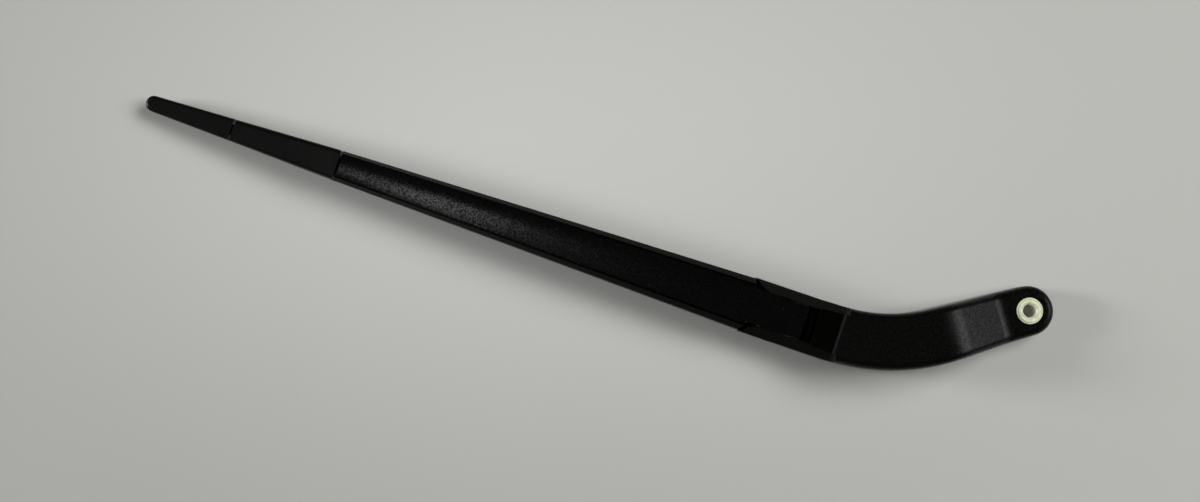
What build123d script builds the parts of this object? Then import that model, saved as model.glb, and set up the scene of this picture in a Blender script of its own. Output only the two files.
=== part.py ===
from build123d import *
from math import acos, atan2, cos, degrees, hypot, radians, sin, sqrt
import os

os.makedirs("parts", exist_ok=True)

# Rear wiper arm with its blade, lying as on flat glass: spindle axis on Z, glass plane at z = 0,
# straight arm running along +X at y = arm_y. "Near" is the +Y side, "far" the -Y side.

# Fits
press_gap = 0.02  # pressed pins and bushes, per side
running_gap = 0.05  # turning pins, per side
side_play = 0.1  # between cheeks and bush flanges, per side
clear_gap = 0.4  # parts that pass each other without touching
cut_over = 5.0  # how far a cutting shape reaches past the piece

# Spindle joint, M8 thread above a 1:5 cone
spindle_hole_r = 4.2
insert_r = 8.0
insert_top = 15.6
insert_step_r = 7.0
insert_step = 0.5
cone_top = 8.6
cone_mouth_r = 5.3
cone_mouth = 2.2
bore_chamfer = 0.5

# Cast head, seen from above
arm_y = 51.5
head_angle = 33.5
head_end_r = 15.2
head_half = 17.0
bend_r = 113.0

# Cast head, seen from the side
pad_top = 15.0
head_top = 32.0
crease_s = 16.5
ramp_end_s = 50.0
crease_r = 14.0
ramp_r = 35.0
rim_r = 4.5
foot_rise_s = (22.0, 34.0)
head_foot = 4.0
roof = 3.2
head_wall = 3.2
rib = 2.4

# Fork and hinge
bevel_x = (106.5, 121.5)
bevel_r = 10.0
cheek_top = 27.4
crest_half = 10.9
crest_end_r = 13.0
flank_foot = 20.6
flank_x = (105.0, 123.5)
hinge_x = 146.0
hinge_z = 16.5
cheek_r = 18.5
pin_r = 3.0
pin_inner = 5.4
bush_r = 4.2
bush_flange_r = 6.0
bush_flange = 0.8
tongue_half = 9.7
tongue_wall = 3.8
tongue_x = 128.5
tongue_boss_r = 8.3
shoulder_gap = 1.5
stop_bar_x = (153.0, 159.0)
stop_bar_top = 7.0
slot_web_x = 126.0
slot_web_top = 6.0

# Spring and its link
hook_dx = -8.0
hook_dz = -8.5
hook_pin_r = 2.2
hook_pin_half = 14.4
hook_wall = 2.6
link_half = 1.5
link_height = 5.0
link_length = 38.0
link_hole_r = 1.7
link_eye_r = 3.35
hook_mouth_angle = -110.0
anchor_x = 241.0
anchor_z = 20.0
anchor_r = 2.0
spring_r = 4.5
wire_r = 0.9
coil_pitch = 3.2
coils = 16
coil_sides = 8
wire_sides = 6

# Arm channel: share of its length, top height and foot height, from the hinge tongue to its end
arm_end_x = 426.0
arm_half_start = 17.1
arm_half_end = 9.35
shoulder_start = 4.6
shoulder_end = 3.0
arm_tops = ((0.0, 28.0, 7.0), (0.32, 30.0, 8.0), (0.57, 29.3, 9.2), (0.80, 26.9, 10.2), (1.0, 24.0, 10.8))
crown = 0.9
groove_width = 1.0
groove_depth = 1.3
ledge_drop = 0.3
shoulder_drop = 4.2
arm_wall = 2.0
arm_roof = 2.6
bulkhead = 4.5

# Blade pivot
blade_x = 401.0
blade_z = 14.0
blade_pin_r = 2.0
arm_end_r = 24.4
nose_gap = 1.5

# Blade bridge
nose_overhang = 3.2
nose_tuck = 7.0
nose_half = (9.6, 6.8)
nose_top = (24.4, 17.8)
nose_foot = (7.8, 9.8)
bridge_half = 6.6
bridge_slot = 5.0
bridge_top = 17.9
bridge_roof = 1.6
bridge_chamfer = 2.1
bridge_foot = 10.9
nose_wall = 1.8
nose_edge_r = 2.6
nose_roof = 2.0
adapter_half_length = 10.5
adapter_foot = 11.0

# Yokes
yoke_reach = 88.8
yoke_z = 12.6
yoke_pin_r = 1.5
yoke_boss_r = 2.9
yoke_half = 3.4
yoke_thick = 1.9
claw_length = 7.0
claw_half = 4.5
claw_room = 3.5
claw_lip_half = 1.1
claw_foot = 4.6
claw_lip = 1.0
tip_gap = 1.5
tip_half = (6.75, 4.75)
tip_top = (17.5, 11.7)
tip_foot = (8.6, 5.2)
tip_wall = 1.6
tip_edge_r = 2.0
tip_corner_r = 4.6

# Rubber and its two steel strips
blade_half = 150.0
rubber_top = 9.4
lip_edge_half = 0.35
lip_half = 1.6
lip_top = 4.4
neck_half = 0.5
bar_foot = 5.8
bar_half = 2.5
strip_foot = 7.0
strip_thick = 0.9
strip_room = 0.1
web_half = 0.8
strip_inner = 0.85
strip_outer = 3.3
rubber_inset = 2.0
strip_inset = 3.0

# Derived places
theta = radians(head_angle)
axis_dir = (cos(theta), sin(theta))
side_dir = (-sin(theta), cos(theta))
straight = (arm_y - bend_r * (1 - cos(theta))) / sin(theta)
bend_centre = (straight * cos(theta) + bend_r * sin(theta), arm_y - bend_r)
cheek_end_x = hinge_x + cheek_r
head_far_s = cheek_end_x + 2 * head_half
bevel_s = bevel_x[0] * axis_dir[0] + arm_y * axis_dir[1]
slot_half = tongue_half + bush_flange + side_play
roof_half = slot_half - clear_gap
hook_x = hinge_x + hook_dx
hook_z = hinge_z + hook_dz
outer_pivot_x = blade_x + yoke_reach
inner_pivot_x = blade_x - yoke_reach
nose_end_x = outer_pivot_x + nose_overhang
tip_x = blade_x + blade_half
heel_x = blade_x - blade_half


def along_head(s, offset):
    """A plan point at distance s from the spindle and offset from the head's axis."""
    return (s * axis_dir[0] + offset * side_dir[0], s * axis_dir[1] + offset * side_dir[1])


def round_end(angle):
    """A plan point on the head's round end."""
    return (head_end_r * cos(radians(angle)), head_end_r * sin(radians(angle)))


def round_bend(radius, angle):
    """A plan point on the head's bend."""
    return (bend_centre[0] + radius * cos(radians(angle)), bend_centre[1] + radius * sin(radians(angle)))


def off_axis(point):
    """Plan distance of a point from the head's curved centre line."""
    if point.X > bend_centre[0]:
        return abs(point.Y - arm_y)
    if point.X * axis_dir[0] + point.Y * axis_dir[1] < straight:
        return abs(point.X * side_dir[0] + point.Y * side_dir[1])
    return abs(hypot(point.X - bend_centre[0], point.Y - bend_centre[1]) - bend_r)


def along_arm(t, start, end):
    """A size that runs evenly from one end of the arm to the other."""
    return start + t * (end - start)


def across_arm(x):
    """Plane square to the arm, its X along +Y and its Y upward."""
    return Plane(origin=(x, arm_y, 0), x_dir=(0, 1, 0), z_dir=(1, 0, 0))


head_side = Plane(origin=(0, 0, 0), x_dir=(*axis_dir, 0), z_dir=(sin(theta), -cos(theta), 0))
arm_side = Plane.XZ.offset(-arm_y)
bend_mid = 90 + head_angle / 2

# Directions square to the head's two straight sides, which touch its round end and its bend
bend_span = hypot(straight, bend_r)
bend_lean = head_angle - degrees(atan2(bend_r, straight))
near_lean = bend_lean + degrees(acos((head_end_r - head_half - bend_r) / bend_span))
far_lean = bend_lean - degrees(acos((head_end_r - head_half + bend_r) / bend_span))

# Hollow under the head, split by a rib that follows the head's axis
with BuildPart() as head_hollow:
    inner_half = head_half - head_wall
    hollow_start = insert_r + 2 * head_wall + rib
    hollow_end_x = bevel_x[1] - head_wall
    with BuildSketch(Plane.XY.offset(-cut_over)):
        with BuildLine():
            Line(along_head(hollow_start, head_end_r - head_wall), along_head(straight, inner_half))
            ThreePointArc(
                along_head(straight, inner_half),
                round_bend(bend_r + inner_half, bend_mid),
                (bend_centre[0], arm_y + inner_half),
            )
            Polyline(
                (bend_centre[0], arm_y + inner_half),
                (hollow_end_x, arm_y + inner_half),
                (hollow_end_x, arm_y - inner_half),
                (bend_centre[0], arm_y - inner_half),
            )
            ThreePointArc(
                (bend_centre[0], arm_y - inner_half),
                round_bend(bend_r - inner_half, bend_mid),
                along_head(straight, -inner_half),
            )
            Polyline(
                along_head(straight, -inner_half),
                along_head(hollow_start, head_wall - head_end_r),
                along_head(hollow_start, head_end_r - head_wall),
            )
        make_face()
        with BuildLine() as rib_line:
            Line(along_head(0, 0), along_head(straight, 0))
            ThreePointArc(along_head(straight, 0), round_bend(bend_r, bend_mid), (bend_centre[0], arm_y))
            Line((bend_centre[0], arm_y), (cheek_end_x, arm_y))
        trace(rib_line.line, line_width=rib, mode=Mode.SUBTRACT)
    extrude(amount=head_top + cut_over)
    with BuildSketch(head_side):
        with BuildLine():
            Polyline(
                (0, -cut_over),
                (head_far_s, -cut_over),
                (head_far_s, cheek_top - roof),
                (bevel_s + head_wall, cheek_top - roof),
                (bevel_s - head_half, head_top - roof),
                (ramp_end_s, head_top - roof),
                (crease_s, pad_top - roof),
                (0, pad_top - roof),
                close=True,
            )
        make_face()
    extrude(amount=cheek_end_x, both=True, mode=Mode.INTERSECT)

# Sloping flanks of the fork, running out into the head's rounded rim
with BuildPart() as flank_cut:
    slope = (cheek_top - flank_foot) / (head_half - crest_half)
    for x, shift in ((cheek_end_x + cut_over, 0.0), (flank_x[1], 0.0), (flank_x[0], head_half - crest_half)):
        with BuildSketch(across_arm(x)):
            with BuildLine():
                Polyline(
                    (crest_half + shift - cut_over, cheek_top + cut_over * slope),
                    (head_half + shift + cut_over, flank_foot - cut_over * slope),
                    (head_half + shift + 5 * cut_over, cheek_top + cut_over * slope),
                    close=True,
                )
            make_face()
    loft(ruled=True)
    mirror(about=arm_side)

# Cast head: end pad, ramp, bend and hinge fork
with BuildPart() as arm_head:
    near_end = round_end(near_lean)
    far_end = round_end(far_lean)
    near_bend = round_bend(bend_r + head_half, near_lean)
    far_bend = round_bend(bend_r - head_half, far_lean + 180)
    with BuildSketch():
        with BuildLine():
            ThreePointArc(near_end, along_head(-head_end_r, 0), far_end)
            Line(far_end, far_bend)
            ThreePointArc(
                far_bend,
                round_bend(bend_r - head_half, bend_mid),
                (bend_centre[0], arm_y - head_half),
            )
            Polyline(
                (bend_centre[0], arm_y - head_half),
                (cheek_end_x + cut_over, arm_y - head_half),
                (cheek_end_x + cut_over, arm_y + head_half),
                (bend_centre[0], arm_y + head_half),
            )
            ThreePointArc(
                (bend_centre[0], arm_y + head_half),
                round_bend(bend_r + head_half, bend_mid),
                near_bend,
            )
            Line(near_bend, near_end)
        make_face()
    extrude(amount=head_top + cut_over)
    with BuildSketch(head_side):
        with BuildLine():
            Polyline(
                (-2 * head_end_r, 0),
                (foot_rise_s[0], 0),
                (foot_rise_s[1], head_foot),
                (head_far_s, head_foot),
                (head_far_s, head_top),
                (ramp_end_s, head_top),
                (crease_s, pad_top),
                (-2 * head_end_r, pad_top),
                close=True,
            )
        make_face()
        fillet(vertices().sort_by_distance((ramp_end_s, head_top))[0], ramp_r)
        fillet(vertices().sort_by_distance((crease_s, pad_top))[0], crease_r)
    extrude(amount=cheek_end_x, both=True, mode=Mode.INTERSECT)
    upright = 0.9
    rim = arm_head.edges().filter_by(
        lambda e: e.center().Z > pad_top - clear_gap
        and off_axis(e @ 0.5) > head_half / 2
        and abs((e % 0.5).Z) < upright
        and (e @ 0.5).X < cheek_end_x
    )
    fillet(rim, rim_r)
    crest_end_x = hinge_x + sqrt(cheek_r**2 - (cheek_top - hinge_z) ** 2)
    foot_end_x = hinge_x + sqrt(cheek_r**2 - (hinge_z - head_foot) ** 2)
    with BuildSketch(arm_side):
        with BuildLine():
            Polyline(
                (foot_end_x, head_foot),
                (foot_end_x, -cut_over),
                (-2 * head_end_r, -cut_over),
                (-2 * head_end_r, head_top),
                (bevel_x[0], head_top),
                (bevel_x[1], cheek_top),
                (crest_end_x, cheek_top),
            )
            ThreePointArc((crest_end_x, cheek_top), (cheek_end_x, hinge_z), (foot_end_x, head_foot))
        make_face()
        fillet(vertices().sort_by_distance((crest_end_x, cheek_top))[0], crest_end_r)
        fillet(vertices().sort_by_distance((bevel_x[0], head_top))[0], bevel_r)
    extrude(amount=cheek_end_x, both=True, mode=Mode.INTERSECT)
    add(flank_cut.part, mode=Mode.SUBTRACT)
    add(head_hollow.part, mode=Mode.SUBTRACT)
    with BuildSketch(Plane.XY):
        with Locations((bevel_x[1], arm_y)):
            Rectangle(cheek_end_x, 2 * slot_half, align=(Align.MIN, Align.CENTER))
    extrude(amount=head_top, mode=Mode.SUBTRACT)
    with BuildSketch(Plane.XY.offset(head_foot)):
        with Locations(((stop_bar_x[0] + stop_bar_x[1]) / 2, arm_y)):
            Rectangle(stop_bar_x[1] - stop_bar_x[0], 2 * slot_half + head_wall)
    extrude(amount=stop_bar_top - head_foot)
    with BuildSketch(Plane.XY.offset(head_foot)):
        with Locations((slot_web_x, arm_y)):
            Rectangle(
                slot_web_x - bevel_x[1] + head_wall,
                2 * slot_half + head_wall,
                align=(Align.MAX, Align.CENTER),
            )
    extrude(amount=slot_web_top - head_foot)
    with Locations((0, 0, insert_top)):
        Hole(insert_r + press_gap)
    with BuildSketch(arm_side):
        with Locations((hinge_x, hinge_z)):
            Circle(pin_r + press_gap)
    extrude(amount=2 * head_half, both=True, mode=Mode.SUBTRACT)
    with BuildSketch(arm_side):
        with Locations((hook_x, hook_z)):
            Circle(hook_pin_r + press_gap)
    extrude(amount=hook_pin_half + press_gap, both=True, mode=Mode.SUBTRACT)
arm_head.part.label = "arm_head"
export_step(arm_head.part, "parts/arm_head.step")

# Zinc-plated insert: clearance hole for the thread over a cone for the serrated spindle
with BuildPart() as spindle_insert:
    with BuildSketch(Plane.XZ):
        with BuildLine():
            Polyline(
                (cone_mouth_r, cone_mouth),
                (cone_mouth_r, 0),
                (insert_r, 0),
                (insert_r, insert_top - insert_step),
                (insert_step_r, insert_top - insert_step),
                (insert_step_r, insert_top),
                (spindle_hole_r + bore_chamfer, insert_top),
                (spindle_hole_r, insert_top - bore_chamfer),
                (spindle_hole_r, cone_top),
                close=True,
            )
        make_face()
    revolve(axis=Axis.Z)
spindle_insert.part.label = "spindle_insert"
export_step(spindle_insert.part, "parts/spindle_insert.step")

# Two stub pins leave the middle of the hinge free, so the spring can pass over the hinge line
with BuildPart() as pin_near:
    with BuildSketch(arm_side.offset(-pin_inner)):
        with Locations((hinge_x, hinge_z)):
            Circle(pin_r)
    extrude(amount=pin_inner - head_half + clear_gap)
pin_near.part.label = "hinge_pin_near"
export_step(pin_near.part, "parts/hinge_pin_near.step")

with BuildPart() as pin_far:
    add(pin_near.part)
    mirror(about=arm_side, mode=Mode.REPLACE)
pin_far.part.label = "hinge_pin_far"
export_step(pin_far.part, "parts/hinge_pin_far.step")

# Flanged bushes in the tongue, turning on the stub pins
with BuildPart() as bush_near:
    with BuildSketch(arm_side.offset(clear_gap - tongue_half)):
        with Locations((hinge_x, hinge_z)):
            Circle(bush_r)
    extrude(amount=tongue_wall - 2 * clear_gap)
    with BuildSketch(arm_side.offset(-tongue_half)):
        with Locations((hinge_x, hinge_z)):
            Circle(bush_flange_r)
    extrude(amount=-bush_flange)
    with BuildSketch(arm_side.offset(-tongue_half)):
        with Locations((hinge_x, hinge_z)):
            Circle(bush_r)
    extrude(amount=clear_gap)
    with BuildSketch(arm_side):
        with Locations((hinge_x, hinge_z)):
            Circle(pin_r + running_gap)
    extrude(amount=2 * head_half, both=True, mode=Mode.SUBTRACT)
bush_near.part.label = "hinge_bush_near"
export_step(bush_near.part, "parts/hinge_bush_near.step")

with BuildPart() as bush_far:
    add(bush_near.part)
    mirror(about=arm_side, mode=Mode.REPLACE)
bush_far.part.label = "hinge_bush_far"
export_step(bush_far.part, "parts/hinge_bush_far.step")

# Pin across the fork for the spring link
with BuildPart() as hook_pin:
    with BuildSketch(arm_side):
        with Locations((hook_x, hook_z)):
            Circle(hook_pin_r)
    extrude(amount=hook_pin_half, both=True)
hook_pin.part.label = "spring_hook_pin"
export_step(hook_pin.part, "parts/spring_hook_pin.step")

# Room that the arm leaves for the fork, all but the roof of its tongue
tongue_end_x = cheek_end_x + shoulder_gap + bulkhead
tongue_roof = arm_tops[0][1] - crown - arm_roof
with BuildPart() as fork_room:
    with BuildSketch(arm_side):
        with Locations((hinge_x, hinge_z)):
            Circle(cheek_r + shoulder_gap)
            Rectangle(hinge_x, 4 * cheek_r, align=(Align.MAX, Align.CENTER))
    extrude(amount=2 * head_half, both=True)
    with BuildSketch(arm_side):
        with Locations((0, tongue_roof)):
            Rectangle(arm_end_x, head_top, align=(Align.MIN, Align.MIN))
    extrude(amount=roof_half, both=True, mode=Mode.SUBTRACT)

# Inside of the arm channel
with BuildPart() as arm_hollow:
    for t, top, foot in arm_tops:
        x = max(along_arm(t, tongue_x, arm_end_x), tongue_end_x)
        half = along_arm(t, arm_half_start, arm_half_end)
        panel = half - along_arm(t, shoulder_start, shoulder_end)
        with BuildSketch(across_arm(x)):
            with BuildLine():
                Polyline(
                    (arm_wall - half, foot - cut_over),
                    (half - arm_wall, foot - cut_over),
                    (half - arm_wall, top - crown - shoulder_drop - groove_width),
                    (panel - groove_width, top - arm_roof),
                    (groove_width - panel, top - arm_roof),
                    (arm_wall - half, top - crown - shoulder_drop - groove_width),
                    close=True,
                )
            make_face()
    loft(ruled=True)

# Arm: crowned panel between two grooves, sloping shoulders, open underneath
with BuildPart() as arm_channel:
    for t, top, foot in arm_tops:
        half = along_arm(t, arm_half_start, arm_half_end)
        panel = half - along_arm(t, shoulder_start, shoulder_end)
        edge = top - crown
        ledge = panel + groove_width
        x = along_arm(t, tongue_x, arm_end_x)
        with BuildSketch(across_arm(x)):
            with BuildLine():
                ThreePointArc((-panel, edge), (0, top), (panel, edge))
                Polyline(
                    (panel, edge),
                    (panel, edge - groove_depth),
                    (ledge, edge - groove_depth),
                    (ledge, edge - ledge_drop),
                    (half, edge - shoulder_drop),
                    (half, foot),
                    (-half, foot),
                    (-half, edge - shoulder_drop),
                    (-ledge, edge - ledge_drop),
                    (-ledge, edge - groove_depth),
                    (-panel, edge - groove_depth),
                    (-panel, edge),
                )
            make_face()
    loft()
    add(fork_room.part, mode=Mode.SUBTRACT)
    with BuildSketch(arm_side):
        with Locations((blade_x + arm_end_r, blade_z)):
            Rectangle(2 * arm_end_r, 4 * arm_end_r)
        with Locations((blade_x, blade_z)):
            Circle(arm_end_r, mode=Mode.SUBTRACT)
    extrude(amount=2 * head_half, both=True, mode=Mode.SUBTRACT)
    add(arm_hollow.part, mode=Mode.SUBTRACT)
    tongue_foot = stop_bar_top + side_play
    with BuildSketch(arm_side):
        with BuildLine():
            Polyline(
                (hinge_x - tongue_boss_r, tongue_roof + clear_gap),
                (tongue_end_x, tongue_roof + clear_gap),
                (tongue_end_x, tongue_foot),
                (hinge_x + tongue_wall, tongue_foot),
                (hinge_x, hinge_z),
                (hinge_x - tongue_boss_r, hinge_z),
                close=True,
            )
        make_face()
        with Locations((hinge_x, hinge_z)):
            Circle(tongue_boss_r)
    extrude(amount=tongue_half, both=True)
    with BuildSketch(arm_side):
        with Locations((tongue_x - cut_over, tongue_roof)):
            Rectangle(tongue_end_x - tongue_x + 2 * cut_over, head_top, align=(Align.MIN, Align.MAX))
    extrude(amount=tongue_half - tongue_wall, both=True, mode=Mode.SUBTRACT)
    with BuildSketch(arm_side):
        with Locations((hinge_x, hinge_z)):
            Circle(bush_r + press_gap)
        with Locations((anchor_x, anchor_z)):
            Circle(anchor_r + press_gap)
        with Locations((blade_x, blade_z)):
            Circle(blade_pin_r + press_gap)
    extrude(amount=2 * head_half, both=True, mode=Mode.SUBTRACT)
arm_channel.part.label = "arm_channel"
export_step(arm_channel.part, "parts/arm_channel.step")

# Cross pins pressed through the arm's walls
anchor_t = (anchor_x - tongue_x) / (arm_end_x - tongue_x)
blade_t = (blade_x - tongue_x) / (arm_end_x - tongue_x)
with BuildPart() as anchor_pin:
    with BuildSketch(arm_side):
        with Locations((anchor_x, anchor_z)):
            Circle(anchor_r)
    extrude(amount=along_arm(anchor_t, arm_half_start, arm_half_end) - clear_gap, both=True)
anchor_pin.part.label = "spring_anchor_pin"
export_step(anchor_pin.part, "parts/spring_anchor_pin.step")

with BuildPart() as blade_pin:
    with BuildSketch(arm_side):
        with Locations((blade_x, blade_z)):
            Circle(blade_pin_r)
    extrude(amount=along_arm(blade_t, arm_half_start, arm_half_end) - clear_gap, both=True)
blade_pin.part.label = "blade_pivot_pin"
export_step(blade_pin.part, "parts/blade_pivot_pin.step")

# Spring line from the hook pin to the anchor pin
spring_run = hypot(anchor_x - hook_x, anchor_z - hook_z)
spring_dir = ((anchor_x - hook_x) / spring_run, 0, (anchor_z - hook_z) / spring_run)
spring_plane = Plane(origin=(hook_x, arm_y, hook_z), x_dir=spring_dir, z_dir=(0, -1, 0))


def along_spring(distance):
    """Plane square to the spring line, at a distance from the hook pin."""
    origin = (hook_x + distance * spring_dir[0], arm_y, hook_z + distance * spring_dir[2])
    return Plane(origin=origin, x_dir=(0, 1, 0), z_dir=spring_dir)


with BuildPart() as spring_link:
    hook_r = hook_pin_r + running_gap
    with BuildSketch(spring_plane):
        Circle(hook_r + hook_wall)
        with Locations((link_length / 2, 0)):
            Rectangle(link_length, link_height)
        with Locations((link_length, 0)):
            Circle(link_eye_r)
            Circle(link_hole_r, mode=Mode.SUBTRACT)
        Circle(hook_r, mode=Mode.SUBTRACT)
        with Locations(Location((0, 0), hook_mouth_angle)):
            with Locations((hook_r + hook_wall, 0)):
                Rectangle(2 * hook_wall + hook_r, 2 * hook_pin_r - 2 * clear_gap, mode=Mode.SUBTRACT)
    extrude(amount=link_half, both=True)
spring_link.part.label = "spring_link"
export_step(spring_link.part, "parts/spring_link.step")

# Tension spring drawn open under load: each coil one ridge, with a bent loop at either end
with BuildPart() as tension_spring:
    coil_r = spring_r - wire_r
    rear_r = anchor_r + running_gap + wire_r
    body_end = spring_run - rear_r - wire_r
    body_start = body_end - coils * coil_pitch
    ridge_taper = degrees(atan2(2 * wire_r, coil_pitch))
    for i in range(coils):
        with BuildSketch(along_spring(body_start + (i + 0.5) * coil_pitch)):
            RegularPolygon(radius=spring_r, side_count=coil_sides)
        extrude(amount=coil_pitch / 2, taper=ridge_taper)
    mirror(about=along_spring((body_start + body_end) / 2))
    with BuildLine(spring_plane) as rear_loop:
        Line((body_end - wire_r, -rear_r), (spring_run, -rear_r))
        ThreePointArc((spring_run, -rear_r), (spring_run + rear_r, 0), (spring_run, rear_r))
        Line((spring_run, rear_r), (body_end - wire_r, rear_r))
    with BuildSketch(Plane(origin=rear_loop.line @ 0, z_dir=rear_loop.line % 0)):
        RegularPolygon(radius=wire_r, side_count=wire_sides)
    sweep(path=rear_loop.line)
    loop_plane = Plane(origin=(hook_x, arm_y, hook_z), x_dir=spring_dir, z_dir=spring_plane.y_dir)
    front_x = link_length + link_hole_r - wire_r - clear_gap
    with BuildLine(loop_plane) as front_loop:
        Line((body_start + wire_r, -coil_r), (front_x + coil_r, -coil_r))
        ThreePointArc((front_x + coil_r, -coil_r), (front_x, 0), (front_x + coil_r, coil_r))
        Line((front_x + coil_r, coil_r), (body_start + wire_r, coil_r))
    with BuildSketch(Plane(origin=front_loop.line @ 0, z_dir=front_loop.line % 0)):
        RegularPolygon(radius=wire_r, side_count=wire_sides)
    sweep(path=front_loop.line)
tension_spring.part.label = "tension_spring"
export_step(tension_spring.part, "parts/tension_spring.step")


def long_edge(edge):
    """True for an edge that runs along the arm."""
    return abs((edge % 0.5).X) > upright


# Slim bar of the bridge, its upper edges cut back to clear the arm's shoulders
heel = inner_pivot_x - 2 * yoke_boss_r
nose_room_x = blade_x + arm_end_r + nose_gap + 2 * nose_wall
with BuildPart() as bridge_bar:
    with BuildSketch(arm_side):
        with BuildLine():
            Polyline(
                (heel, bridge_foot),
                (heel, bridge_top),
                (nose_room_x - nose_wall, bridge_top),
                (nose_room_x - nose_wall, bridge_foot),
                close=True,
            )
        make_face()
        fillet(vertices().group_by(Axis.X)[0], yoke_boss_r)
    extrude(amount=bridge_half, both=True)
    chamfer(bridge_bar.edges().filter_by(Axis.X).group_by(Axis.Z)[-1], bridge_chamfer)

# Blade bridge: a nose that carries the arm's line on, and a slim bar hidden inside the arm
with BuildPart() as blade_bridge:
    nose_start_x = blade_x + arm_end_r - nose_tuck
    with BuildSketch():
        with BuildLine():
            Polyline(
                (nose_start_x, arm_y - nose_half[0]),
                (nose_end_x, arm_y - nose_half[1]),
                (nose_end_x, arm_y + nose_half[1]),
                (nose_start_x, arm_y + nose_half[0]),
                close=True,
            )
        make_face()
    extrude(amount=head_top)
    with BuildSketch(arm_side):
        with BuildLine():
            Polyline(
                (nose_start_x, nose_foot[0]),
                (nose_end_x, nose_foot[1]),
                (nose_end_x, nose_top[1]),
                (nose_start_x, nose_top[0]),
                close=True,
            )
        make_face()
    extrude(amount=head_half, both=True, mode=Mode.INTERSECT)
    fillet(blade_bridge.edges().filter_by(long_edge).group_by(Axis.Z)[-1], nose_edge_r)
    with BuildSketch(arm_side):
        with Locations((blade_x, blade_z)):
            Circle(arm_end_r + nose_gap)
    extrude(amount=2 * head_half, both=True, mode=Mode.SUBTRACT)
    with BuildSketch(across_arm(nose_room_x)):
        with Locations((0, nose_foot[0] - nose_wall)):
            Rectangle(
                2 * (nose_half[0] - 2 * nose_wall),
                nose_top[0] - nose_roof - nose_foot[0] + nose_wall,
                align=(Align.CENTER, Align.MIN),
            )
    with BuildSketch(across_arm(nose_end_x + cut_over)):
        with Locations((0, nose_foot[1] - nose_wall)):
            Rectangle(
                2 * (nose_half[1] - nose_wall),
                nose_top[1] - nose_roof - nose_foot[1] + nose_wall,
                align=(Align.CENTER, Align.MIN),
            )
    loft(ruled=True, mode=Mode.SUBTRACT)
    add(bridge_bar.part)
    with BuildSketch(arm_side):
        with BuildLine():
            Polyline(
                (heel - cut_over, bridge_foot - cut_over),
                (heel - cut_over, bridge_top - bridge_roof),
                (nose_room_x, bridge_top - bridge_roof),
                (nose_room_x, bridge_foot - cut_over),
                close=True,
            )
        make_face()
    extrude(amount=bridge_slot, both=True, mode=Mode.SUBTRACT)
    with BuildSketch(arm_side):
        with Locations((inner_pivot_x, yoke_z), (outer_pivot_x, yoke_z)):
            Circle(yoke_pin_r + press_gap)
        with Locations((blade_x, blade_z)):
            Circle(blade_pin_r + clear_gap)
    extrude(amount=2 * head_half, both=True, mode=Mode.SUBTRACT)
blade_bridge.part.label = "blade_bridge"
export_step(blade_bridge.part, "parts/blade_bridge.step")

# Pivot adapter: a moulded clip seated under the bridge's roof, snapped over the arm's cross pin
with BuildPart() as blade_adapter:
    with BuildSketch(arm_side):
        with Locations((blade_x, adapter_foot)):
            Rectangle(
                2 * adapter_half_length,
                bridge_top - bridge_roof - adapter_foot,
                align=(Align.CENTER, Align.MIN),
            )
        fillet(vertices().group_by(Axis.Y)[0], 2 * bridge_roof)
        with Locations((blade_x, blade_z)):
            Circle(blade_pin_r + running_gap, mode=Mode.SUBTRACT)
            Rectangle(
                2 * (blade_pin_r - clear_gap),
                2 * (blade_z - adapter_foot),
                align=(Align.CENTER, Align.MAX),
                mode=Mode.SUBTRACT,
            )
    extrude(amount=bridge_slot - running_gap, both=True)
blade_adapter.part.label = "blade_adapter"
export_step(blade_adapter.part, "parts/blade_adapter.step")

# Yoke pins
with BuildPart() as outer_yoke_pin:
    with BuildSketch(arm_side):
        with Locations((outer_pivot_x, yoke_z)):
            Circle(yoke_pin_r)
    extrude(amount=nose_half[1] - clear_gap, both=True)
outer_yoke_pin.part.label = "outer_yoke_pin"
export_step(outer_yoke_pin.part, "parts/outer_yoke_pin.step")

with BuildPart() as inner_yoke_pin:
    with BuildSketch(arm_side):
        with Locations((inner_pivot_x, yoke_z)):
            Circle(yoke_pin_r)
    extrude(amount=bridge_half - clear_gap, both=True)
inner_yoke_pin.part.label = "inner_yoke_pin"
export_step(inner_yoke_pin.part, "parts/inner_yoke_pin.step")

# Room for the rubber in a claw: square over the rubber's head, narrow at the lips
claw_x = blade_half - yoke_reach
with BuildPart() as claw_room_cut:
    with BuildSketch(across_arm(heel_x - cut_over)):
        with Locations((0, claw_foot + claw_lip)):
            Rectangle(
                2 * claw_room,
                rubber_top - claw_foot - claw_lip,
                align=(Align.CENTER, Align.MIN),
            )
        with Locations((0, 0)):
            Rectangle(2 * claw_lip_half, rubber_top, align=(Align.CENTER, Align.MIN))
    extrude(amount=tip_x - rubber_inset + clear_gap - heel_x + cut_over)

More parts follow.
